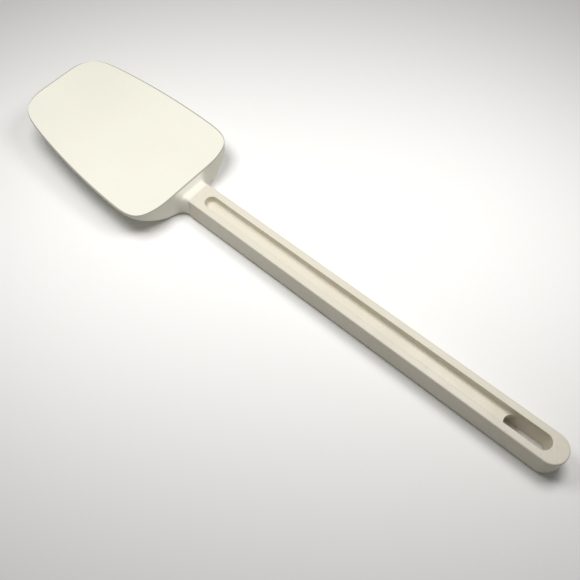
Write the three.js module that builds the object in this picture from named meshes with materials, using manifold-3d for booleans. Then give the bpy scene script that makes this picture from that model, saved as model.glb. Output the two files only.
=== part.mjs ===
// A heat-resistant kitchen spatula: a stiff channelled handle, and a flexible dished blade moulded over the
// handle's tang. Millimetres, Z up. X runs along the spatula, from the blade's tip to the handle's round end,
// and the middle of the length lies on X = 0. The underside lies on Z = 0. While a piece is shaped, X = 0 is
// the joint face between the two.
import * as THREE from "three";
import { mergeVertices } from "three/addons/utils/BufferGeometryUtils.js";
import Module from "manifold-3d";

// Handle bar
const HANDLE_LENGTH = 280.4; // joint face to the round end
const HANDLE_WIDTH_AT_NECK = 19.2;
const HANDLE_WIDTH_AT_END = 19.9;
const HANDLE_THICKNESS = 17.6;
const HANDLE_EDGE_RADIUS = 1.3;

// Channel along the handle's top face, and the hang slot that continues it right through the handle
const CHANNEL_SETBACK = 7.7; // joint face to the channel's round start
const CHANNEL_WIDTH_AT_NECK = 9.0;
const CHANNEL_WIDTH_AT_END = 10.2;
const CHANNEL_DEPTH = 5.4;
const HANG_SLOT_LENGTH = 28.8;
const END_WALL = 10.4; // hang slot to the round end

// Web left between the channel and the recess of the same outline under the handle
const WEB = 5.0;

// Tang that the blade is moulded over
const TANG_LENGTH = 44.0;
const TANG_WIDTH = 13.0;
const TANG_THICKNESS = 5.0;
const TANG_ROOT = 5.0; // how far the tang runs back into the solid neck of the bar
const LOCK_HOLE_RADIUS = 3.0;
const LOCK_HOLE_SHARES = [0.36, 0.73]; // places along the tang, as shares of its length

// Blade
const COLLAR_LENGTH = 8.3; // joint face to the blade's rear edge
const COLLAR_FLAT = 3.5; // level stretch of the collar's top before it sweeps up to the rim
const COLLAR_FLARE = 6.0; // radius between the collar's sides and the blade's rear flank
const BLADE_LENGTH = 132.0;
const BLADE_WIDTH = 93.6; // at the shoulders
const WIDEST_FROM_REAR = 22.0;
const SIDE_RADIUS = 442.0; // bow of the long sides
const REAR_STRAIGHT = 42.0; // straight part of the rear edge
const SHOULDER_LENGTH = 15.0; // rear edge to the end of the rounded shoulder
const TIP_RADIUS = 23.0;
const RIM_HEIGHT_AT_REAR = 21.5;
const RIM_HEIGHT_AT_TIP = 31.6;
const RIM_THICKNESS = 1.8;
const TIP_THICKNESS = 2.2; // at the middle of the tip edge
const KEEL_FALLOFF = 1.8; // how quickly the keel thins towards the tip
const FLANK_FULLNESS = 1.4; // a higher power keeps the keel's flanks full further out
const DISH_DEPTH = 3.2;
const DISH_FLATNESS_ACROSS = 3; // a higher power keeps the dish flat closer to the rim
const DISH_FLATNESS_ALONG = 4;

// Clearances
const JOINT_GAP = 0.3; // between the handle's end and the collar's mouth
const SOCKET_GAP = 0.3; // all round the tang

// Fineness of the curved surfaces
const ARC_SEGMENTS = 12;
const EDGE_SEGMENTS = 3;
const BLADE_LENGTH_SEGMENTS = 40;
const BLADE_WIDTH_SEGMENTS = 18;

const MARGIN = 2.0; // overlap of joined solids, and overshoot of cutting tools
const WELD = 1e-4; // corners closer than this are one corner
const wasm = await Module();
wasm.setup();

// A closed geometry as a solid that can be joined and cut.
function solidOf(geometry) {
  geometry.deleteAttribute("normal");
  geometry.deleteAttribute("uv");
  const merged = mergeVertices(geometry, WELD);
  return new wasm.Manifold(
    new wasm.Mesh({
      numProp: 3,
      vertProperties: merged.getAttribute("position").array,
      triVerts: new Uint32Array(merged.index.array),
    }),
  );
}

// A finished solid as a named mesh.
function meshOf(name, solid, material) {
  const made = solid.getMesh();
  const geometry = new THREE.BufferGeometry();
  geometry.setAttribute("position", new THREE.BufferAttribute(made.vertProperties, made.numProp));
  geometry.setIndex(new THREE.BufferAttribute(made.triVerts, 1));
  geometry.computeVertexNormals();
  const mesh = new THREE.Mesh(geometry, material);
  mesh.name = name;
  return mesh;
}

// A plan outline raised from one height to another.
function raised(shape, bottom, top) {
  const geometry = new THREE.ExtrudeGeometry(shape, {
    depth: top - bottom,
    bevelEnabled: false,
    curveSegments: ARC_SEGMENTS,
  });
  return solidOf(geometry.translate(0, 0, bottom));
}

// A side outline, drawn as X and Z, carried across the width about the middle plane.
function acrossWidth(shape, width) {
  const geometry = new THREE.ExtrudeGeometry(shape, {
    depth: width,
    bevelEnabled: false,
    curveSegments: ARC_SEGMENTS,
  });
  return solidOf(geometry.rotateX(Math.PI / 2).translate(0, width / 2, 0));
}

// A polygon outline from its corners.
function polygon(corners) {
  return new THREE.Shape(corners.map(([x, y]) => new THREE.Vector2(x, y)));
}

// A long outline with round ends and a width that changes from one end to the other.
function taperedSlot(start, end, startWidth, endWidth) {
  const shape = new THREE.Shape();
  shape.absarc(start + startWidth / 2, 0, startWidth / 2, Math.PI / 2, (3 * Math.PI) / 2, false);
  shape.absarc(end - endWidth / 2, 0, endWidth / 2, -Math.PI / 2, Math.PI / 2, false);
  return shape;
}

// Handle bar

const slotEnd = HANDLE_LENGTH - END_WALL;
const slotStart = slotEnd - HANG_SLOT_LENGTH;

// Widths along the channel change steadily from its start to its end.
function channelWidth(x) {
  const along = (x - CHANNEL_SETBACK) / (slotEnd - CHANNEL_SETBACK);
  return THREE.MathUtils.lerp(CHANNEL_WIDTH_AT_NECK, CHANNEL_WIDTH_AT_END, along);
}

function handleBar() {
  const endRadius = HANDLE_WIDTH_AT_END / 2;
  const neckHalf = HANDLE_WIDTH_AT_NECK / 2;
  const lead = HANDLE_EDGE_RADIUS + MARGIN; // trimmed off, so that the joint face keeps square edges
  const outline = new THREE.Shape();
  outline.moveTo(-lead, -neckHalf);
  outline.lineTo(0, -neckHalf);
  outline.absarc(HANDLE_LENGTH - endRadius, 0, endRadius, -Math.PI / 2, Math.PI / 2, false);
  outline.lineTo(0, neckHalf);
  outline.lineTo(-lead, neckHalf);
  const bar = new THREE.ExtrudeGeometry(outline, {
    depth: HANDLE_THICKNESS - 2 * HANDLE_EDGE_RADIUS,
    bevelEnabled: true,
    bevelThickness: HANDLE_EDGE_RADIUS,
    bevelSize: HANDLE_EDGE_RADIUS,
    bevelOffset: -HANDLE_EDGE_RADIUS,
    bevelSegments: EDGE_SEGMENTS,
    curveSegments: ARC_SEGMENTS,
  }).translate(0, 0, HANDLE_EDGE_RADIUS);
  const trimmer = new THREE.BoxGeometry(2 * lead, 2 * HANDLE_WIDTH_AT_NECK, 3 * HANDLE_THICKNESS);
  return solidOf(bar).subtract(solidOf(trimmer.translate(-lead, 0, 0)));
}

function channelPlan() {
  return taperedSlot(CHANNEL_SETBACK, slotEnd, CHANNEL_WIDTH_AT_NECK, CHANNEL_WIDTH_AT_END);
}

const channelFloor = HANDLE_THICKNESS - CHANNEL_DEPTH;

function channelCut() {
  return raised(channelPlan(), channelFloor, HANDLE_THICKNESS + MARGIN);
}

// The recess leaves a web under the channel. Where the bar is too thin for both, it has no recess.
function recessCut() {
  const roof = Math.max(0, channelFloor - WEB);
  return raised(channelPlan(), -MARGIN, roof);
}

function hangSlotCut() {
  const plan = taperedSlot(slotStart, slotEnd, channelWidth(slotStart), CHANNEL_WIDTH_AT_END);
  return raised(plan, -MARGIN, HANDLE_THICKNESS + MARGIN);
}

// Blade, measured along from its rear edge to its tip

const collarHalf = HANDLE_WIDTH_AT_NECK / 2;

// Half width of the long sides, as if they ran straight on past the rounded corners.
function sideHalf(along) {
  return BLADE_WIDTH / 2 - (along - WIDEST_FROM_REAR) ** 2 / (2 * SIDE_RADIUS);
}

// Half width of the real outline: an elliptic shoulder, the bowed side, and a round corner at the tip.
function outlineHalf(along) {
  if (along < SHOULDER_LENGTH) {
    const inward = (SHOULDER_LENGTH - along) / SHOULDER_LENGTH;
    const straight = REAR_STRAIGHT / 2;
    return straight + (sideHalf(SHOULDER_LENGTH) - straight) * Math.sqrt(1 - inward ** 2);
  }
  const cornerCentre = BLADE_LENGTH - TIP_RADIUS;
  const bend = TIP_RADIUS / SIDE_RADIUS;
  const tangent = (cornerCentre - bend * WIDEST_FROM_REAR) / (1 - bend);
  const cornerAt = (place) => Math.sqrt(Math.max(0, TIP_RADIUS ** 2 - (place - cornerCentre) ** 2));
  if (along < tangent) return sideHalf(along);
  return sideHalf(tangent) - cornerAt(tangent) + cornerAt(along);
}

function rimHeight(along) {
  return THREE.MathUtils.lerp(RIM_HEIGHT_AT_REAR, RIM_HEIGHT_AT_TIP, along / BLADE_LENGTH);
}

// The top face is dished, and level with the rim all round its edge.
function topHeight(along, side) {
  const acrossShare = 1 - Math.abs(side / outlineHalf(along)) ** DISH_FLATNESS_ACROSS;
  const alongShare = 1 - Math.abs((2 * along) / BLADE_LENGTH - 1) ** DISH_FLATNESS_ALONG;
  return rimHeight(along) - DISH_DEPTH * acrossShare * alongShare;
}

// The underside is a keel as wide as the collar, with flanks up to the thin rim. It starts level with the
// handle's underside and thins out towards the tip.
function undersideHeight(along, side) {
  const left = 1 - along / BLADE_LENGTH;
  const keel = TIP_THICKNESS + (RIM_HEIGHT_AT_REAR - TIP_THICKNESS) * left ** KEEL_FALLOFF;
  const outward = (Math.abs(side) - collarHalf) / (sideHalf(along) - collarHalf);
  const share = THREE.MathUtils.clamp(outward, 0, 1) ** FLANK_FULLNESS;
  return topHeight(along, side) - THREE.MathUtils.lerp(keel, RIM_THICKNESS, share);
}

// A block of unit size is drawn out to the blade's outline, with closer steps at both ends, where the corners
// turn.
function bladeBody() {
  const geometry = new THREE.BoxGeometry(1, 1, 1, BLADE_LENGTH_SEGMENTS, BLADE_WIDTH_SEGMENTS, 1);
  const position = geometry.getAttribute("position");
  for (let i = 0; i < position.count; i++) {
    const share = 0.5 - position.getX(i);
    const along = (BLADE_LENGTH * (1 - Math.cos(Math.PI * share))) / 2;
    const side = 2 * position.getY(i) * outlineHalf(along);
    const height = position.getZ(i) > 0 ? topHeight(along, side) : undersideHeight(along, side);
    position.setXYZ(i, -COLLAR_LENGTH - along, side, height);
  }
  return solidOf(geometry);
}

// The collar continues the handle's section, and its top sweeps up to the blade's rim.
function collarBlock() {
  const profile = new THREE.Shape();
  profile.moveTo(-JOINT_GAP, 0);
  profile.lineTo(-JOINT_GAP, HANDLE_THICKNESS);
  profile.lineTo(-COLLAR_FLAT, HANDLE_THICKNESS);
  profile.quadraticCurveTo(-COLLAR_LENGTH, HANDLE_THICKNESS, -COLLAR_LENGTH, RIM_HEIGHT_AT_REAR);
  profile.lineTo(-COLLAR_LENGTH - MARGIN, RIM_HEIGHT_AT_REAR - MARGIN);
  profile.lineTo(-COLLAR_LENGTH - MARGIN, MARGIN);
  profile.lineTo(-COLLAR_LENGTH, 0);
  return acrossWidth(profile, HANDLE_WIDTH_AT_NECK);
}

// A concave corner between one side of the collar and the blade's rear flank, cut off along the flank's lower
// edge.
function collarFlare(sign) {
  const radius = Math.min(COLLAR_FLARE, COLLAR_LENGTH - JOINT_GAP);
  const inner = collarHalf - MARGIN;
  const outer = collarHalf + radius;
  const front = radius - COLLAR_LENGTH;
  const back = -COLLAR_LENGTH - MARGIN;
  const plan = new THREE.Shape();
  plan.moveTo(back, inner);
  plan.lineTo(front, inner);
  plan.absarc(front, outer, radius, -Math.PI / 2, -Math.PI, true);
  plan.lineTo(back, outer);
  const flare = raised(plan, 0, HANDLE_THICKNESS);
  const edgeRise = undersideHeight(0, outer);
  const section = polygon([
    [inner, 0],
    [collarHalf, 0],
    [outer, edgeRise],
    [outer, HANDLE_THICKNESS],
    [inner, HANDLE_THICKNESS],
  ]);
  const depth = COLLAR_LENGTH + 2 * MARGIN;
  const wedge = new THREE.ExtrudeGeometry(section, { depth, bevelEnabled: false });
  wedge.rotateX(Math.PI / 2).rotateZ(Math.PI / 2).translate(-depth, 0, 0);
  const corner = flare.intersect(solidOf(wedge));
  return sign > 0 ? corner : corner.mirror([0, 1, 0]);
}

// The two pieces

// The tang and, with a clearance, the space that it fills in the blade. It starts halfway up the handle and
// ends halfway through the blade's thickness, and the blade reaches through its lock holes.
function tang(clearance, root) {
  const half = TANG_WIDTH / 2 + clearance;
  const reach = TANG_THICKNESS / 2 + clearance;
  const height = HANDLE_THICKNESS / 2;
  const along = TANG_LENGTH - COLLAR_LENGTH;
  const endHeight = (topHeight(along, 0) + undersideHeight(along, 0)) / 2;
  const rise = Math.atan2(endHeight - height, TANG_LENGTH);
  const tilted = (geometry) => solidOf(geometry.rotateY(rise).translate(0, 0, height));
  const plan = new THREE.Shape();
  plan.absarc(TANG_WIDTH / 2 - TANG_LENGTH, 0, half, Math.PI / 2, (3 * Math.PI) / 2, false);
  plan.lineTo(root, -half);
  plan.lineTo(root, half);
  const plate = new THREE.ExtrudeGeometry(plan, {
    depth: 2 * reach,
    bevelEnabled: false,
    curveSegments: ARC_SEGMENTS,
  });
  let made = tilted(plate.translate(0, 0, -reach));
  for (const share of LOCK_HOLE_SHARES) {
    const radius = LOCK_HOLE_RADIUS - clearance;
    const hole = new THREE.CylinderGeometry(radius, radius, 2 * TANG_THICKNESS, 2 * ARC_SEGMENTS);
    made = made.subtract(tilted(hole.rotateX(Math.PI / 2).translate(-share * TANG_LENGTH, 0, 0)));
  }
  return made;
}

function handle() {
  return handleBar()
    .subtract(channelCut())
    .subtract(recessCut())
    .subtract(hangSlotCut())
    .add(tang(0, TANG_ROOT));
}

function blade() {
  return bladeBody()
    .add(collarBlock())
    .add(collarFlare(1))
    .add(collarFlare(-1))
    .subtract(tang(SOCKET_GAP, MARGIN));
}

// Assembly

const offWhitePlastic = new THREE.MeshStandardMaterial({ color: 0xe3dfd0, roughness: 0.55, metalness: 0 });
const creamRubber = new THREE.MeshStandardMaterial({ color: 0xf2eede, roughness: 0.65, metalness: 0 });

const spatula = new THREE.Group();
spatula.name = "heat_resistant_spatula";
spatula.position.x = (COLLAR_LENGTH + BLADE_LENGTH - HANDLE_LENGTH) / 2;
spatula.add(meshOf("handle", handle(), offWhitePlastic));
spatula.add(meshOf("blade", blade(), creamRubber));

export default spatula;
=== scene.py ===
# %% [markdown]
# # A heat-resistant spatula
# This lesson gives a moulded kitchen spatula its looks. The object has two pieces: a stiff plastic handle
# with a long channel and a hang slot, and a flexible rubber blade that is moulded over the handle's tang.
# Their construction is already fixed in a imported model, which is loaded first and never changed. Here each
# piece is modelled again with finer, rounder surfaces in the same place, and gets a material made of nodes.

import math

import bmesh
import bpy
from mathutils import Matrix, Vector


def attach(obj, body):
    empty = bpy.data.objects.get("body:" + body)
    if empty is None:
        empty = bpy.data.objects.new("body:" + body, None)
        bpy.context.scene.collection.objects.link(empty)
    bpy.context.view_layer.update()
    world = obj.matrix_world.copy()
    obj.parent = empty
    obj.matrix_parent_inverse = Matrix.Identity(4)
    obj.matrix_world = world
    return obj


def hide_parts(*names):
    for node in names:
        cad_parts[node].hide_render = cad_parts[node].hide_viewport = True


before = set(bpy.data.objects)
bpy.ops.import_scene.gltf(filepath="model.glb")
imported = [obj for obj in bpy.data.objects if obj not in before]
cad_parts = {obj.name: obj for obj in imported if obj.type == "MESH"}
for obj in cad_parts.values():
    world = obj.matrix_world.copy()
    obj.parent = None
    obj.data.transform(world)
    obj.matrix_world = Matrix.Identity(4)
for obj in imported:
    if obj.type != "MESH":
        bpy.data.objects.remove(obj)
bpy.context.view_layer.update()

# %% [markdown]
# ## Shared helpers
# Both pieces are drawn in millimetres from the joint face between handle and blade, with the handle running
# to +X, the blade to -X, and the underside on Z = 0. A finished piece is scaled to metres and moved to its
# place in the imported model, so its object stays at the origin and only its mesh carries the place.

# %% Helpers
MILLIMETRE = 0.001
JOINT_FACE = -70.05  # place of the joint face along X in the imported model


def finish_piece(bm, name):
    """Turns a drawing in millimetres into an object of the scene."""
    bmesh.ops.recalc_face_normals(bm, faces=bm.faces[:])
    bmesh.ops.translate(bm, verts=bm.verts[:], vec=(JOINT_FACE, 0, 0))
    bmesh.ops.scale(bm, verts=bm.verts[:], vec=(MILLIMETRE, MILLIMETRE, MILLIMETRE))
    mesh = bpy.data.meshes.new(name)
    bm.to_mesh(mesh)
    bm.free()
    mesh.shade_smooth()
    piece = bpy.data.objects.new(name, mesh)
    bpy.context.scene.collection.objects.link(piece)
    print(name, "has", len(mesh.vertices), "corners and", len(mesh.polygons), "faces")
    return piece


def blend(first, last, share):
    """The value at a share of the way from the first value to the last."""
    return first + (last - first) * share


# %% [markdown]
# ## Handle
# The handle is a straight bar with a round end. A channel with a rounded foot runs along its top, a recess
# of the same outline lies under it, and the last stretch is a slot right through both. It could be carved
# with booleans, but every outline on it is a long ring with two ends. So the bar is one ring that is
# extruded from outline to outline, up the outside, down into the channel, through the slot and out of the
# recess, until it meets itself again. The slot is then simply the hole in the middle of the rings.

# %% Handle sizes
HANDLE_LENGTH = 280.4
HANDLE_TOP = 17.6
NECK_HALF = 9.6
END_RADIUS = 9.95
LEAD = 1.0  # the sides start this far before the joint face, after a round start that is cut off later
CHANNEL_START = 7.7
CHANNEL_END = 270.0
CHANNEL_HALF_AT_NECK = 4.5
CHANNEL_HALF_AT_END = 5.1
CHANNEL_FLOOR = 12.2
RECESS_ROOF = 7.2
FOOT_RADIUS = 1.2  # the foot is the rounded corner between a channel's wall and its floor
FOOT_STEPS = 5
DRAFT = 1.1  # the sides lean out by this much from the top to the table
BOTTOM_RADIUS = 3.6  # of the bar's lower edge along the sides
END_BOTTOM_RADIUS = 6.5  # of the same edge at the far end
BOTTOM_STEPS = 5
SLOT_START = 241.2

slot_share = (SLOT_START - CHANNEL_START) / (CHANNEL_END - CHANNEL_START)
slot_half = blend(CHANNEL_HALF_AT_NECK, CHANNEL_HALF_AT_END, slot_share)
slot_centre = SLOT_START + slot_half  # of the slot's round start
channel_start_centre = CHANNEL_START + CHANNEL_HALF_AT_NECK
channel_end_centre = CHANNEL_END - CHANNEL_HALF_AT_END
print("the slot is", round(2 * slot_half, 2), "mm wide and", round(CHANNEL_END - SLOT_START, 2), "mm long")

# %% [markdown]
# A ring is given by its height, its round start, its corners where it passes the start of the slot, and its
# round end. The foot of the channel runs onto the slot's round start, one step of the foot after the other,
# which leaves a clean edge there. The bar's lower edge is rounded, more so at the far end than along the
# sides, and the sides lean out a little towards the table, so that the bar slips out of its mould.


# %% Rings of the handle
def bar_ring(inset, height, end_inset, end_height):
    """Outer outline of the bar, drawn in along the sides and at the far end."""
    end_centre = HANDLE_LENGTH - END_RADIUS
    side = blend(NECK_HALF, END_RADIUS, slot_centre / end_centre)
    return {
        "height": height,
        "start": (-LEAD, NECK_HALF - inset, math.pi / 2),
        "corners": [(slot_centre, side - inset, height)],
        "end": (end_centre, END_RADIUS - end_inset, END_RADIUS - inset, end_height),
    }


def bottom_ring(step):
    """One step of the bar's rounded lower edge: step 0 lies on the table, the last one on the side."""
    angle = step / BOTTOM_STEPS * math.pi / 2
    inset = 1 - math.sin(angle)
    rise = 1 - math.cos(angle)
    side_inset = BOTTOM_RADIUS * inset - DRAFT
    return bar_ring(side_inset, BOTTOM_RADIUS * rise, END_BOTTOM_RADIUS * inset, END_BOTTOM_RADIUS * rise)


def channel_ring(inset, height, corners):
    """Outline of the channel, drawn in along the sides before the slot."""
    wall_height = corners[0][2]
    return {
        "height": height,
        "start": (channel_start_centre, CHANNEL_HALF_AT_NECK - inset, math.pi / 2),
        "corners": corners,
        "end": (channel_end_centre, CHANNEL_HALF_AT_END, CHANNEL_HALF_AT_END, wall_height),
    }


def foot_rings(level, upwards):
    """Steps of the foot, from the wall to the floor, or to the recess's roof, and the edge of the slot."""
    steps = []
    corners = []
    for step in range(FOOT_STEPS + 1):
        angle = step / FOOT_STEPS * math.pi / 2
        inset = FOOT_RADIUS * (1 - math.cos(angle))
        height = level + upwards * FOOT_RADIUS * (1 - math.sin(angle))
        reached = math.asin(1 - inset / slot_half)
        corners.append((slot_centre - slot_half * math.cos(reached), slot_half - inset, height))
        steps.append(channel_ring(inset, height, corners[:]))
    edge = channel_ring(FOOT_RADIUS, level, corners)
    edge["start"] = (slot_centre, slot_half, reached)
    return [*steps, edge]


def rim_ring(height):
    """Outline of the channel where it opens."""
    return channel_ring(0.0, height, [(slot_centre, slot_half, height)])


outside = [bottom_ring(step) for step in range(BOTTOM_STEPS + 1)]
outside.append(bar_ring(0.0, HANDLE_TOP, 0.0, HANDLE_TOP))
channel = [rim_ring(HANDLE_TOP), *foot_rings(CHANNEL_FLOOR, 1)]
recess = [rim_ring(0.0), *foot_rings(RECESS_ROOF, -1)]
rings = [*outside, *channel, *reversed(recess)]
BAR_TOP = len(outside) - 1
CHANNEL_RIM = len(outside)
RECESS_MOUTH = len(rings) - 1
print("the handle has", len(rings), "rings")

# %% [markdown]
# Each point of a ring remembers its zone, which is the start, the corner or the end, and its place in it: a
# turn from one side to the other in the round zones, and a number at the corner. So every extruded ring can
# be laid onto its own outline. Where two outlines share a stretch, the points are merged.

# %% Extrude the handle
START, CORNER, END = range(3)
ARC_POINTS = 16  # points of a quarter turn
CORNER_POINTS = FOOT_STEPS + 1
SIDE_POINTS = 2 * ARC_POINTS + CORNER_POINTS
SAME_POINT = 0.0005

bm = bmesh.new()
zone_of = bm.verts.layers.int.new("zone")
place_of = bm.verts.layers.int.new("place")
turn_of = bm.verts.layers.float.new("turn")
ring_of = bm.verts.layers.int.new("ring")
circle = bmesh.ops.create_circle(bm, segments=2 * SIDE_POINTS, radius=1.0)["verts"]
half_step = Matrix.Rotation(math.pi / (2 * SIDE_POINTS), 3, "Z")
bmesh.ops.rotate(bm, verts=circle, cent=(0, 0, 0), matrix=half_step)
for vert in circle:
    place = int(math.atan2(abs(vert.co.y), vert.co.x) / math.pi * SIDE_POINTS)
    if place < ARC_POINTS:
        vert[zone_of] = END
    elif place < ARC_POINTS + CORNER_POINTS:
        vert[zone_of] = CORNER
        vert[place_of] = place - ARC_POINTS
        place = ARC_POINTS - 1
    else:
        vert[zone_of] = START
        place = SIDE_POINTS - 1 - place
    vert[turn_of] = math.copysign((place + 0.5) / (ARC_POINTS - 0.5) * math.pi / 2, vert.co.y)


def place_ring(verts, number):
    """Lays the points of a ring onto its outline."""
    outline = rings[number]
    for vert in verts:
        vert[ring_of] = number
        turn = vert[turn_of]
        if vert[zone_of] == START:
            centre, radius, widest = outline["start"]
            turn *= widest / (math.pi / 2)
            vert.co = (centre - radius * math.cos(turn), radius * math.sin(turn), outline["height"])
        elif vert[zone_of] == CORNER:
            corners = outline["corners"]
            along, side, height = corners[min(vert[place_of], len(corners) - 1)]
            vert.co = (along, math.copysign(side, turn), height)
        else:
            centre, reach, half, end_height = outline["end"]
            height = blend(outline["corners"][0][2], end_height, math.cos(turn))
            vert.co = (centre + reach * math.cos(turn), half * math.sin(turn), height)


place_ring(circle, 0)
ring_edges = bm.edges[:]
for number in [*range(1, len(rings)), 0]:
    grown = bmesh.ops.extrude_edge_only(bm, edges=ring_edges)["geom"]
    ring_verts = {item for item in grown if isinstance(item, bmesh.types.BMVert)}
    ring_edges = [
        item for item in grown if isinstance(item, bmesh.types.BMEdge) and ring_verts.issuperset(item.verts)
    ]
    place_ring(ring_verts, number)
bmesh.ops.remove_doubles(bm, verts=bm.verts[:], dist=SAME_POINT)
print("handle before its edges are rounded:", len(bm.verts), "points,", len(bm.faces), "faces")

# %% [markdown]
# A moulded bar has no sharp edges. The round of its lower edge is in the rings already, and the three other
# long edges are bevelled, each with its own radius. Rounding runs past the joint face, and only then is the
# lead cut off, so the section at the joint keeps its true outline and the face stays flat. Edges that are
# still steep, as around the slot, are marked sharp, so that light breaks on them.

# %% Round and trim the handle
EDGE_RADII = {BAR_TOP: 0.9, CHANNEL_RIM: 0.6, RECESS_MOUTH: 0.6}
EDGE_SEGMENTS = 5
JOINT_RADIUS = 0.15
JOINT_SEGMENTS = 2
SHARP_ANGLE = math.radians(40)


def round_edges(bm, edges, radius, segments):
    """Rounds edges with a bevel of some segments."""
    bmesh.ops.bevel(
        bm,
        geom=edges,
        offset=radius,
        offset_type="OFFSET",
        affect="EDGES",
        segments=segments,
        profile=0.5,
        material=-1,
    )


for number, radius in EDGE_RADII.items():
    ring = [edge for edge in bm.edges if all(vert[ring_of] == number for vert in edge.verts)]
    round_edges(bm, ring, radius, EDGE_SEGMENTS)
everything = bm.verts[:] + bm.edges[:] + bm.faces[:]
bmesh.ops.bisect_plane(bm, geom=everything, plane_co=(0, 0, 0), plane_no=(-1, 0, 0), clear_outer=True)
bmesh.ops.holes_fill(bm, edges=[edge for edge in bm.edges if edge.is_boundary], sides=0)
joint_edges = [edge for edge in bm.edges if all(abs(vert.co.x) < SAME_POINT for vert in edge.verts)]
round_edges(bm, joint_edges, JOINT_RADIUS, JOINT_SEGMENTS)
for edge in bm.edges:
    edge.smooth = edge.calc_face_angle(0.0) < SHARP_ANGLE
print("open edges in the handle:", sum(not edge.is_manifold for edge in bm.edges))
handle = finish_piece(bm, "handle_bar")
even_light = handle.modifiers.new("even_light", "WEIGHTED_NORMAL")
even_light.keep_sharp = True

# %% [markdown]
# ## Blade
# The blade is a dished sheet with a thin rim. Behind, it thickens into a keel with a steep rear wall, and a
# short collar leads from that wall to the handle. It is soft in form everywhere, so it is modelled as a
# coarse cage that a subdivision surface smooths. The cage starts as a grid, drawn out to the blade's
# outline, with narrow rows and columns along its edges to hold the round of the rim, and it is extruded down
# to the keel.

# %% Blade sizes
COLLAR_LENGTH = 8.3
MOUTH_GAP = 0.12  # between the collar's mouth and the handle
BLADE_LENGTH = 132.0
BLADE_HALF = 46.8
WIDEST = 22.0  # distance of the widest place from the rear edge
SIDE_RADIUS = 442.0
REAR_STRAIGHT_HALF = 21.0
SHOULDER = 15.0
TIP_RADIUS = 23.0
TIP_STRAIGHT_HALF = 14.8
TIP_CORNER = 113.8  # where the bowed sides pass into the round corners of the tip
RIM_AT_REAR = 21.5
RIM_AT_TIP = 31.6
RIM_THICKNESS = 1.8
TIP_THICKNESS = 2.2
KEEL_FALLOFF = 1.8  # a higher power thins the keel sooner towards the tip
FLANK_FULLNESS = 1.4  # a higher power keeps the keel's flanks full further out
DISH_DEPTH = 3.2
DISH_FLATNESS_ACROSS = 3  # a higher power keeps the dish flat closer to the rim
DISH_FLATNESS_ALONG = 4
CORNER_AT_REAR = 4.4  # where the grid's rear corners sit on the shoulders, from the rear edge
CORNER_AT_TIP = 126.6  # where the grid's front corners sit on the tip's round corners
FLARE_SIDE = 9.0  # the collar's mouth is this much narrower than its root, on each side
print("the blade is", 2 * BLADE_HALF, "mm wide and", BLADE_LENGTH, "mm long")

# %% [markdown]
# Each side of the outline is an elliptic shoulder behind, a long bowed side, and a round corner at the tip.
# The keel under it is as wide as the collar, and thins out towards the tip and towards the rim.


# %% Outline of the blade
def side_half(along):
    """Half width of the bowed sides."""
    return BLADE_HALF - (along - WIDEST) ** 2 / (2 * SIDE_RADIUS)


def outline_half(along):
    """Half width of the whole outline: shoulder, bowed side, round corner at the tip."""
    if along < SHOULDER:
        inward = (SHOULDER - along) / SHOULDER
        return blend(REAR_STRAIGHT_HALF, side_half(SHOULDER), math.sqrt(1 - inward**2))
    if along < TIP_CORNER:
        return side_half(along)
    return TIP_STRAIGHT_HALF + math.sqrt(TIP_RADIUS**2 - (along - BLADE_LENGTH + TIP_RADIUS) ** 2)


def rear_edge(side):
    """Place along the blade of its rear edge."""
    outward = max(0.0, abs(side) - REAR_STRAIGHT_HALF) / (side_half(SHOULDER) - REAR_STRAIGHT_HALF)
    return SHOULDER * (1 - math.sqrt(1 - outward**2))


def tip_edge(side):
    """Place along the blade of its tip edge."""
    outward = max(0.0, abs(side) - TIP_STRAIGHT_HALF)
    return BLADE_LENGTH - TIP_RADIUS + math.sqrt(TIP_RADIUS**2 - outward**2)


def keel_thickness(along, side):
    """Thickness under the dish: a keel as wide as the collar, with full flanks up to the thin rim."""
    left = max(0.0, 1 - along / BLADE_LENGTH)
    keel = blend(TIP_THICKNESS, RIM_AT_REAR, left**KEEL_FALLOFF)
    outward = (abs(side) - NECK_HALF) / (side_half(along) - NECK_HALF)
    return blend(keel, RIM_THICKNESS, min(1.0, max(0.0, outward)) ** FLANK_FULLNESS)


rear_corner_half = outline_half(CORNER_AT_REAR)
tip_corner_half = outline_half(CORNER_AT_TIP)
root_half = NECK_HALF + FLARE_SIDE
root_share = root_half / rear_corner_half
# shares of the half width, from the middle to the rim
half_columns = [0.0, root_share / 2, root_share, 0.61, 0.76, 0.89, 0.96, 1.0]
columns = [-share for share in reversed(half_columns[1:])] + half_columns
# shares of the length, from the rear edge to the tip
rows = [0.0, 0.012, 0.04, 0.1, 0.19, 0.3, 0.42, 0.54, 0.66, 0.77, 0.87, 0.94, 0.972, 0.988, 1.0]
print("grid corners at half widths", round(rear_corner_half, 2), "and", round(tip_corner_half, 2))

# %% [markdown]
# The grid is laid onto the dished top face. Each point remembers its level, from the top face to the
# underside, and how far it reaches along the collar, so that later steps can find it.

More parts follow.
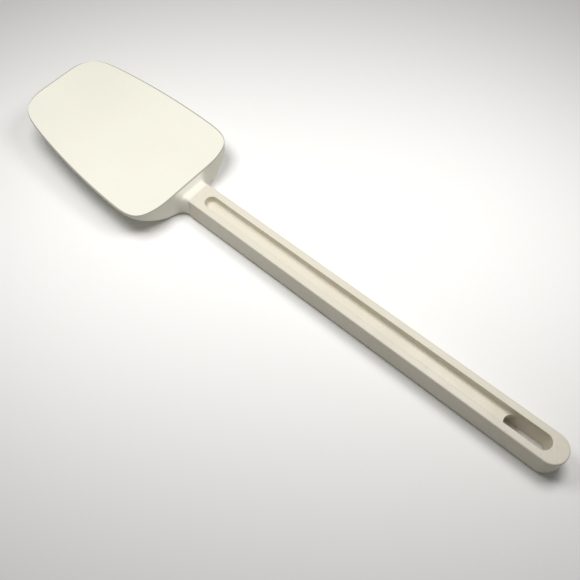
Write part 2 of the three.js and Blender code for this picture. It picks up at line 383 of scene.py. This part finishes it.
# %% Draw the grid out to the blade
TOP, UPPER, LOWER, UNDER = range(1, 5)
ON_WALL, ON_COLLAR, AT_MOUTH = range(3)
bm = bmesh.new()
level_of = bm.verts.layers.int.new("level")
reach_of = bm.verts.layers.int.new("reach")
# the rim attribute marks where the material paints a thin line of shade along the rim
rim_of = bm.verts.layers.float.new("rim")  # 1 on the rim and 0 elsewhere, for the material
crease_of = bm.edges.layers.float.new("crease_edge")
bmesh.ops.create_grid(bm, x_segments=len(rows) - 1, y_segments=len(columns) - 1, size=0.5)
for vert in bm.verts:
    vert[level_of] = TOP
    row = rows[round((0.5 - vert.co.x) * (len(rows) - 1))]
    column = columns[round((vert.co.y + 0.5) * (len(columns) - 1))]
    along = blend(rear_edge(column * rear_corner_half), tip_edge(column * tip_corner_half), row)
    side = column * outline_half(blend(CORNER_AT_REAR, CORNER_AT_TIP, row))
    across = 1 - abs(column) ** DISH_FLATNESS_ACROSS
    lengthwise = 1 - abs(2 * row - 1) ** DISH_FLATNESS_ALONG
    dish = DISH_DEPTH * across * lengthwise
    height = blend(RIM_AT_REAR, RIM_AT_TIP, along / BLADE_LENGTH) - dish
    vert.co = (-COLLAR_LENGTH - along, side, height)
    vert[rim_of] = float(row in (rows[0], rows[-1]) or abs(column) == columns[-1])
print("blade grid:", len(bm.verts), "points,", len(bm.faces), "faces")

# %% [markdown]
# The top face is extruded down to the underside. The walls in between get two more loops: one close under
# the rim, which keeps the rim's round small, and one close above the wall's lower edge.

# %% Extrude the keel and the rear wall
UPRIGHT_CUTS = 2  # for the two loops
RIM_DEPTH = 0.9  # of the loop under the rim
WALL_EDGE = 1.6  # height of the other loop above the wall's lower edge

grown = bmesh.ops.extrude_face_region(bm, geom=bm.faces[:], use_keep_orig=True)["geom"]
for item in grown:
    if isinstance(item, bmesh.types.BMVert):
        item[level_of] = UNDER
        item.co.z -= keel_thickness(-COLLAR_LENGTH - item.co.x, item.co.y)
uprights = [edge for edge in bm.edges if {vert[level_of] for vert in edge.verts} == {TOP, UNDER}]
split = bmesh.ops.subdivide_edges(bm, edges=uprights, cuts=UPRIGHT_CUTS)["geom_inner"]
between = {item for item in split if isinstance(item, bmesh.types.BMVert)}
for vert in between:
    neighbours = [edge.other_vert(vert) for edge in vert.link_edges]
    edge_vert = next(other for other in neighbours if other not in between)
    third = abs(vert.co.z - edge_vert.co.z)
    if edge_vert[level_of] == TOP:
        vert[level_of] = UPPER
        vert.co.z = edge_vert.co.z - min(RIM_DEPTH, third)
    else:
        vert[level_of] = LOWER
        vert.co.z = edge_vert.co.z + min(WALL_EDGE, third)
print("rear wall and rim:", len(uprights), "uprights,", len(bm.faces), "faces in the cage")

# %% [markdown]
# The collar is extruded from the rear wall in one pull, and cut into short lengths. Each length is then
# drawn in, at the sides by a quarter of an ellipse and above by a straight slope, so that the collar leaves
# the wall like the mouth of a bell and comes straight to the handle.

# %% Extrude the collar
FLARE_SIDE_START = 0.5  # distance from the mouth at which the sides start to flare
FLARE_TOP = 3.2  # the collar's mouth is this much lower than its root
FLARE_TOP_START = 5.7  # distance from the mouth at which the top starts to rise
COLLAR_CUTS = 5
LOOP_CROWDING = 1.6  # a higher power moves the collar's loops closer to the root
CORNER_SPARE = 0.75  # the mouth's lower corners are drawn out this far, because smoothing pulls them in
MOUTH_SPREADS = {UPPER: 0.0, LOWER: DRAFT + CORNER_SPARE, UNDER: DRAFT}  # the mouth is wider below
MARGIN = 0.001  # for comparing places


def ramp(distance, start):
    """How far a place on the collar lies between the start of a flare and the root, as a share."""
    return min(1.0, max(0.0, distance - start) / (COLLAR_LENGTH - start))


rear = -COLLAR_LENGTH - MARGIN
root_faces = []
for face in bm.faces:
    below_rim = all(vert.co.x > rear and vert[level_of] != TOP for vert in face.verts)
    if below_rim and abs(face.calc_center_median().y) < root_half:
        root_faces.append(face)
grown = bmesh.ops.extrude_face_region(bm, geom=root_faces)["geom"]
bmesh.ops.delete(bm, geom=root_faces, context="FACES")
for item in grown:
    if isinstance(item, bmesh.types.BMVert):
        item[reach_of] = AT_MOUTH
        item.co.x = -MOUTH_GAP
pulled = [edge for edge in bm.edges if sum(vert[reach_of] == AT_MOUTH for vert in edge.verts) == 1]
for item in bmesh.ops.subdivide_edges(bm, edges=pulled, cuts=COLLAR_CUTS)["geom_inner"]:
    if isinstance(item, bmesh.types.BMVert):
        item[reach_of] = ON_COLLAR
for vert in bm.verts:
    if vert[reach_of] == ON_WALL:
        continue
    if vert[reach_of] == ON_COLLAR:
        vert.co.x = -COLLAR_LENGTH * (1 - (1 + vert.co.x / COLLAR_LENGTH) ** LOOP_CROWDING)
    side_share = 1 - math.sqrt(1 - ramp(-vert.co.x, FLARE_SIDE_START) ** 2)
    at_corner = abs(vert.co.y) > root_half - MARGIN
    mouth_half = NECK_HALF + MOUTH_SPREADS[vert[level_of]]
    vert.co.y *= blend(mouth_half, root_half, side_share) / root_half
    if vert[level_of] == UPPER:
        vert.co.z = HANDLE_TOP + FLARE_TOP * ramp(-vert.co.x, FLARE_TOP_START)
    elif vert[level_of] == LOWER:
        vert.co.z = blend(BOTTOM_RADIUS / 2, vert.co.z, side_share)
    else:
        vert.co.z *= side_share
        if at_corner:
            vert.co.y -= math.copysign(blend(BOTTOM_RADIUS, 0.0, side_share), vert.co.y)
print("collar grown from", len(root_faces), "faces; open edges:", sum(edge.is_boundary for edge in bm.edges))

# %% [markdown]
# Subdivision rounds every edge as far as its neighbours allow. A crease holds an edge back: the lower edge
# of the wall is held a little, the upper edges of the collar more and more towards the handle, and the mouth
# fully, because it has to meet the handle's section.

# %% Crease and smooth the blade
BENT = 0.7  # radians between the two faces of an edge
SHORTEST_RUN = 0.5  # of an edge along the collar
MOUTH_CREASE = 1.0
COLLAR_CREASE = 0.45
WALL_CREASE = 0.2
SMOOTHING_LEVELS = 3

for edge in bm.edges:
    if edge.calc_face_angle() <= BENT:
        continue
    first, second = edge.verts
    levels = {first[level_of], second[level_of]}
    reaches = {first[reach_of], second[reach_of]}
    along_collar = max(reaches) > ON_WALL and abs(first.co.x - second.co.x) > SHORTEST_RUN
    if reaches == {AT_MOUTH}:
        edge[crease_of] = MOUTH_CREASE
    elif along_collar and levels == {UPPER}:
        nearness = 1 + (first.co.x + second.co.x) / (2 * COLLAR_LENGTH)
        edge[crease_of] = COLLAR_CREASE * nearness
    elif levels == {UNDER} and reaches == {ON_WALL}:
        edge[crease_of] = WALL_CREASE
# only the rim of the top face keeps the painted shade line
for vert in bm.verts:
    if vert[level_of] != TOP:
        vert[rim_of] = 0.0
print("creased edges:", sum(edge[crease_of] > 0 for edge in bm.edges))
blade = finish_piece(bm, "blade_sheet")
smoothing = blade.modifiers.new("smoothing", "SUBSURF")
smoothing.levels = SMOOTHING_LEVELS
smoothing.render_levels = SMOOTHING_LEVELS

# %% [markdown]
# ## Moulded surfaces
# Both pieces came out of a mould, and both show a faint cloudiness, a very fine grain and a few faint
# specks. One node group makes these three, and each material uses it with its own sizes. A few helpers keep
# the node trees short.


# %% Node helpers
def add_node(tree, kind, **settings):
    """A new node with some of its settings changed."""
    node = tree.nodes.new(kind)
    for name, value in settings.items():
        setattr(node, name, value)
    return node


def noise(tree, detail, roughness):
    """A noise texture, still without its place and scale."""
    texture = add_node(tree, "ShaderNodeTexNoise")
    texture.inputs["Detail"].default_value = detail
    texture.inputs["Roughness"].default_value = roughness
    return texture


def value_range(tree, source, old_range, new_range):
    """Stretches a value from one range to another and holds it there."""
    node = add_node(tree, "ShaderNodeMapRange", clamp=True)
    node.inputs["From Min"].default_value = old_range[0]
    node.inputs["From Max"].default_value = old_range[1]
    node.inputs["To Min"].default_value = new_range[0]
    node.inputs["To Max"].default_value = new_range[1]
    tree.links.new(source, node.inputs["Value"])
    return node.outputs["Result"]


def colour_mix(tree, factor, first, second):
    """Mixes two colours, each given as a colour or as a socket."""
    node = add_node(tree, "ShaderNodeMix", data_type="RGBA")
    tree.links.new(factor, node.inputs["Factor"])
    for socket, colour in ((node.inputs["A"], first), (node.inputs["B"], second)):
        if isinstance(colour, tuple):
            socket.default_value = (*colour, 1.0)
        else:
            tree.links.new(colour, socket)
    return node.outputs["Result"]


# %% [markdown]
# The group reads Object coordinates, so its patterns stay with the piece. Each of the three patterns is a
# noise with its own scale. Clouds and specks come out as masks, and the grain as a height.

# %% Group for moulded surfaces
FULL_RANGE = (0.0, 1.0)
CLOUD_RANGE = (0.35, 0.65)
SPECK_RANGE = (0.68, 0.76)  # only the highest peaks of the noise become specks

moulded = bpy.data.node_groups.new("moulded_surface", "ShaderNodeTree")
for name, usual in (("Cloud Scale", 30.0), ("Grain Scale", 2500.0), ("Speck Scale", 200.0)):
    socket = moulded.interface.new_socket(name=name, in_out="INPUT", socket_type="NodeSocketFloat")
    socket.default_value = usual
for name in ("Clouds", "Grain", "Specks"):
    moulded.interface.new_socket(name=name, in_out="OUTPUT", socket_type="NodeSocketFloat")
given = add_node(moulded, "NodeGroupInput")
result = add_node(moulded, "NodeGroupOutput")
coordinates = add_node(moulded, "ShaderNodeTexCoord")
clouds = noise(moulded, detail=3.0, roughness=0.55)
grain = noise(moulded, detail=2.0, roughness=0.6)
specks = noise(moulded, detail=1.0, roughness=0.5)
for texture, scale in ((clouds, "Cloud Scale"), (grain, "Grain Scale"), (specks, "Speck Scale")):
    moulded.links.new(coordinates.outputs["Object"], texture.inputs["Vector"])
    moulded.links.new(given.outputs[scale], texture.inputs["Scale"])
cloud_mask = value_range(moulded, clouds.outputs[0], CLOUD_RANGE, FULL_RANGE)
speck_mask = value_range(moulded, specks.outputs[0], SPECK_RANGE, FULL_RANGE)
moulded.links.new(cloud_mask, result.inputs["Clouds"])
moulded.links.new(grain.outputs[0], result.inputs["Grain"])
moulded.links.new(speck_mask, result.inputs["Specks"])
print("node group", moulded.name, "has", len(moulded.nodes), "nodes")

# %% [markdown]
# Both materials start in the same way: the group is placed in the material with the sizes of that piece, and
# its grain becomes a bump. The colours differ, so they are mixed in each material by itself.

# %% Start of a material
BUMP_STRENGTH = 0.35


def new_material(name, cloud_scale, grain_scale, speck_scale, bump_depth):
    """A material with the moulded surface and its bump, its tree, its shader and the surface node."""
    material = bpy.data.materials.new(name)
    material.use_nodes = True
    tree = material.node_tree
    shader = tree.nodes["Principled BSDF"]
    surface = add_node(tree, "ShaderNodeGroup", node_tree=moulded)
    surface.inputs["Cloud Scale"].default_value = cloud_scale
    surface.inputs["Grain Scale"].default_value = grain_scale
    surface.inputs["Speck Scale"].default_value = speck_scale
    bump = add_node(tree, "ShaderNodeBump")
    bump.inputs["Strength"].default_value = BUMP_STRENGTH
    bump.inputs["Distance"].default_value = bump_depth
    tree.links.new(surface.outputs["Grain"], bump.inputs["Height"])
    tree.links.new(bump.outputs["Normal"], shader.inputs["Normal"])
    return material, tree, shader, surface


# %% [markdown]
# ## Handle plastic
# The handle is a cream plastic, a little yellower and glossier than the rubber. Clouds change its colour and
# its gloss slightly, as in a moulding that cooled unevenly.

# %% Handle plastic
CREAM = (0.73, 0.685, 0.57)
DARKER_CREAM = (0.71, 0.665, 0.55)
CREAM_SPECK = (0.67, 0.62, 0.51)
PLASTIC_ROUGHNESS = (0.42, 0.55)

plastic, tree, shader, surface = new_material(
    "handle_plastic", cloud_scale=35.0, grain_scale=900.0, speck_scale=420.0, bump_depth=0.0004
)
tint = colour_mix(tree, surface.outputs["Clouds"], CREAM, DARKER_CREAM)
tint = colour_mix(tree, surface.outputs["Specks"], tint, CREAM_SPECK)
tree.links.new(tint, shader.inputs["Base Color"])
dullness = value_range(tree, surface.outputs["Clouds"], FULL_RANGE, PLASTIC_ROUGHNESS)
tree.links.new(dullness, shader.inputs["Roughness"])
handle.data.materials.append(plastic)
print("material", plastic.name, "on", handle.name)

# %% [markdown]
# ## Blade rubber
# The rubber is whiter and duller, and has long faint scuffs from use, mostly along the blade. Along its rim
# runs a thin line of painted shade, standing in for the shade on the rim's rounded edge. The line follows an
# attribute of the mesh, because it runs with the shape.

# %% Blade rubber
OFF_WHITE = (0.83, 0.81, 0.7)
DARKER_OFF_WHITE = (0.81, 0.79, 0.68)
SCUFF = (0.77, 0.75, 0.64)
OFF_WHITE_SPECK = (0.8, 0.78, 0.67)
# painted shade: a thin dark line along the rim, for the shade on its rounded edge
PAINTED_RIM_SHADE = (0.24, 0.23, 0.2)
RUBBER_ROUGHNESS = (0.55, 0.7)
SCUFF_STRETCH = (0.25, 1.0, 1.0)  # a small scale makes the scuffs long along X
SCUFF_TURN = math.radians(8.0)
SCUFF_SCALE = 240.0
SCUFF_RANGE = (0.6, 0.72)
SCUFF_STRENGTH = (0.0, 0.2)
# where the painted shade line starts on the rim, and how dark it gets
RIM_SHADE_RANGE = (0.45, 0.7)
RIM_SHADE_STRENGTH = (0.0, 0.8)

rubber, tree, shader, surface = new_material(
    "blade_rubber", cloud_scale=22.0, grain_scale=2600.0, speck_scale=300.0, bump_depth=0.0001
)
coordinates = add_node(tree, "ShaderNodeTexCoord")
stretch = add_node(tree, "ShaderNodeMapping")
stretch.inputs["Scale"].default_value = SCUFF_STRETCH
stretch.inputs["Rotation"].default_value = (0.0, 0.0, SCUFF_TURN)
scuffs = noise(tree, detail=4.0, roughness=0.65)
scuffs.inputs["Scale"].default_value = SCUFF_SCALE
tree.links.new(coordinates.outputs["Object"], stretch.inputs["Vector"])
tree.links.new(stretch.outputs["Vector"], scuffs.inputs["Vector"])
scuff_mask = value_range(tree, scuffs.outputs[0], SCUFF_RANGE, SCUFF_STRENGTH)
# a thin line of painted shade along the rim, read from the mesh's rim attribute
rim_shade_place = add_node(tree, "ShaderNodeAttribute", attribute_name="rim")
rim_shade_mask = value_range(tree, rim_shade_place.outputs["Fac"], RIM_SHADE_RANGE, RIM_SHADE_STRENGTH)
tint = colour_mix(tree, surface.outputs["Clouds"], OFF_WHITE, DARKER_OFF_WHITE)
tint = colour_mix(tree, scuff_mask, tint, SCUFF)
tint = colour_mix(tree, surface.outputs["Specks"], tint, OFF_WHITE_SPECK)
# paints the shade of the rim's rounded edge as a dark line
tint = colour_mix(tree, rim_shade_mask, tint, PAINTED_RIM_SHADE)
tree.links.new(tint, shader.inputs["Base Color"])
dullness = value_range(tree, surface.outputs["Clouds"], FULL_RANGE, RUBBER_ROUGHNESS)
tree.links.new(dullness, shader.inputs["Roughness"])
blade.data.materials.append(rubber)
print("material", rubber.name, "on", blade.name)

# %% [markdown]
# ## Table, light and camera
# The spatula lies on a plain white table. To the camera the table is white, and for the light that it throws
# back it is grey, so that little light comes from below.

# %% Table
TABLE_HALF = 3.0
TABLE_SEEN = (0.95, 0.945, 0.925)
TABLE_BOUNCE = (0.6, 0.595, 0.585)
TABLE_ROUGHNESS = 0.8
TABLE_SHINE = 0.1

bm = bmesh.new()
bmesh.ops.create_grid(bm, x_segments=1, y_segments=1, size=TABLE_HALF)
table_mesh = bpy.data.meshes.new("table")
bm.to_mesh(table_mesh)
bm.free()
table = bpy.data.objects.new("table", table_mesh)
bpy.context.scene.collection.objects.link(table)
white = bpy.data.materials.new("white_table")
white.use_nodes = True
tree = white.node_tree
shader = tree.nodes["Principled BSDF"]
ray_kind = add_node(tree, "ShaderNodeLightPath")
seen_or_mirrored = add_node(tree, "ShaderNodeMath", operation="MAXIMUM")
tree.links.new(ray_kind.outputs["Is Camera Ray"], seen_or_mirrored.inputs[0])
tree.links.new(ray_kind.outputs["Is Glossy Ray"], seen_or_mirrored.inputs[1])
seen = add_node(tree, "ShaderNodeMath", operation="MAXIMUM")
tree.links.new(seen_or_mirrored.outputs[0], seen.inputs[0])
tree.links.new(ray_kind.outputs["Is Transmission Ray"], seen.inputs[1])
tint = colour_mix(tree, seen.outputs[0], TABLE_BOUNCE, TABLE_SEEN)
tree.links.new(tint, shader.inputs["Base Color"])
shader.inputs["Roughness"].default_value = TABLE_ROUGHNESS
shader.inputs["Specular IOR Level"].default_value = TABLE_SHINE
table_mesh.materials.append(white)
print("the table is", 2 * TABLE_HALF, "m wide")

# %% [markdown]
# The light is that of a small white tent. Two soft lamps hang under its roof, one over the near side of the
# blade and one beyond the far side of the handle, so that the spatula has a soft shadow on both sides. A
# very dim white world fills the shadows.

# %% Light
TENT_TURN = math.radians(40)  # the tent is turned with the camera
LAMP_PLACES = {"left_lamp": (-0.14, -0.05, 0.36), "right_lamp": (0.1, 0.12, 0.36)}
LAMP_WIDTH = 0.18
LAMP_LENGTH = 0.16
LAMP_SPREAD = math.radians(150)
LAMP_WATTS = 0.63
WORLD_STRENGTH = 0.15
WORLD_COLOUR = (1.0, 0.99, 0.97, 1.0)

for lamp_name, lamp_place in LAMP_PLACES.items():
    lamp_data = bpy.data.lights.new(lamp_name, "AREA")
    lamp_data.shape = "RECTANGLE"
    lamp_data.size = LAMP_WIDTH
    lamp_data.size_y = LAMP_LENGTH
    lamp_data.spread = LAMP_SPREAD
    lamp_data.energy = LAMP_WATTS
    lamp = bpy.data.objects.new(lamp_name, lamp_data)
    lamp.location = lamp_place
    lamp.rotation_euler = (0.0, 0.0, TENT_TURN)
    bpy.context.scene.collection.objects.link(lamp)
    print(lamp_name, "hangs at", lamp_place)
world = bpy.data.worlds.new("white_tent")
world.use_nodes = True
background = world.node_tree.nodes["Background"]
background.inputs["Color"].default_value = WORLD_COLOUR
background.inputs["Strength"].default_value = WORLD_STRENGTH
bpy.context.scene.world = world
bpy.context.scene.view_settings.view_transform = "Standard"

# %% [markdown]
# The camera stands on the near side of the handle, towards its round end, and looks down at sixty degrees.
# Its place, angles and lens are set so that the spatula lies across the picture from corner to corner.

# %% Camera
CAMERA_PLACE = (0.16351, -0.18143, 0.39558)
SENSOR_WIDTH = 36.0
LENS = 43.45
NEAREST_SEEN = 0.01
azimuth = math.radians(40.07)
elevation = math.radians(60.48)
roll = math.radians(0.23)

forward = Vector(
    (-math.sin(azimuth) * math.cos(elevation), math.cos(azimuth) * math.cos(elevation), -math.sin(elevation))
)
sideways = forward.cross(Vector((0, 0, 1))).normalized()
upright = sideways.cross(forward)
right = sideways * math.cos(roll) + upright * math.sin(roll)
up = upright * math.cos(roll) - sideways * math.sin(roll)
camera_data = bpy.data.cameras.new("camera")
camera_data.sensor_width = SENSOR_WIDTH
camera_data.lens = LENS
camera_data.clip_start = NEAREST_SEEN
camera = bpy.data.objects.new("camera", camera_data)
turn = Matrix((right, up, -forward)).transposed().to_4x4()
camera.matrix_world = Matrix.Translation(CAMERA_PLACE) @ turn
bpy.context.scene.collection.objects.link(camera)
bpy.context.scene.camera = camera
print("camera looks along", tuple(round(value, 3) for value in forward))

# %% [markdown]
# ## Hand over
# Each piece takes the place of its node in the imported model and rides on its only body.

# %% Hand over
for piece, node_name, slot_name in ((handle, "handle", "handle_plastic"), (blade, "blade", "blade_rubber")):
    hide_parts(node_name)
    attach(piece, "root")
